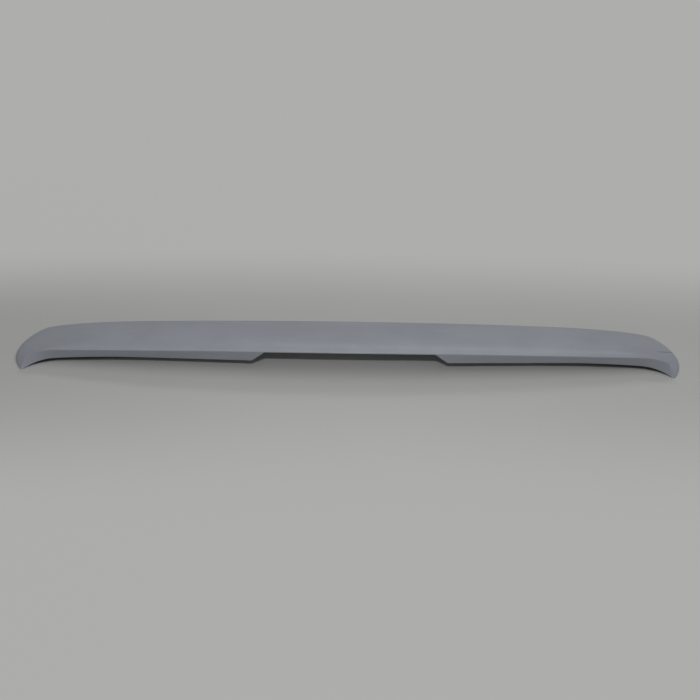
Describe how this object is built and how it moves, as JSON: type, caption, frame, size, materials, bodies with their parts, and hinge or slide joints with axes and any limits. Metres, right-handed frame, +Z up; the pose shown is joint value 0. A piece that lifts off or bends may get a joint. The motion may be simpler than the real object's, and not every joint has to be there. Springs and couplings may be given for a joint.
{
  "type": "roof spoiler",
  "caption": "Slim arched tailgate roof spoiler moulded as one open shell in grey primer, with a rolled lip, a rear fascia notched for a brake light, and down-turned ends.",
  "frame": {"origin": "middle of the outline in plan, on the surface that the two end rims stand on", "axes": "+X across the car, +Y from the trailing lip towards the leading edge, +Z up"},
  "size_m": [1.18, 0.118, 0.053],
  "materials": {
    "primer_shell": "satin grey primer"
  },
  "bodies": {
    "root": {"spoiler_shell": "primer_shell"}
  },
  "joints": []
}
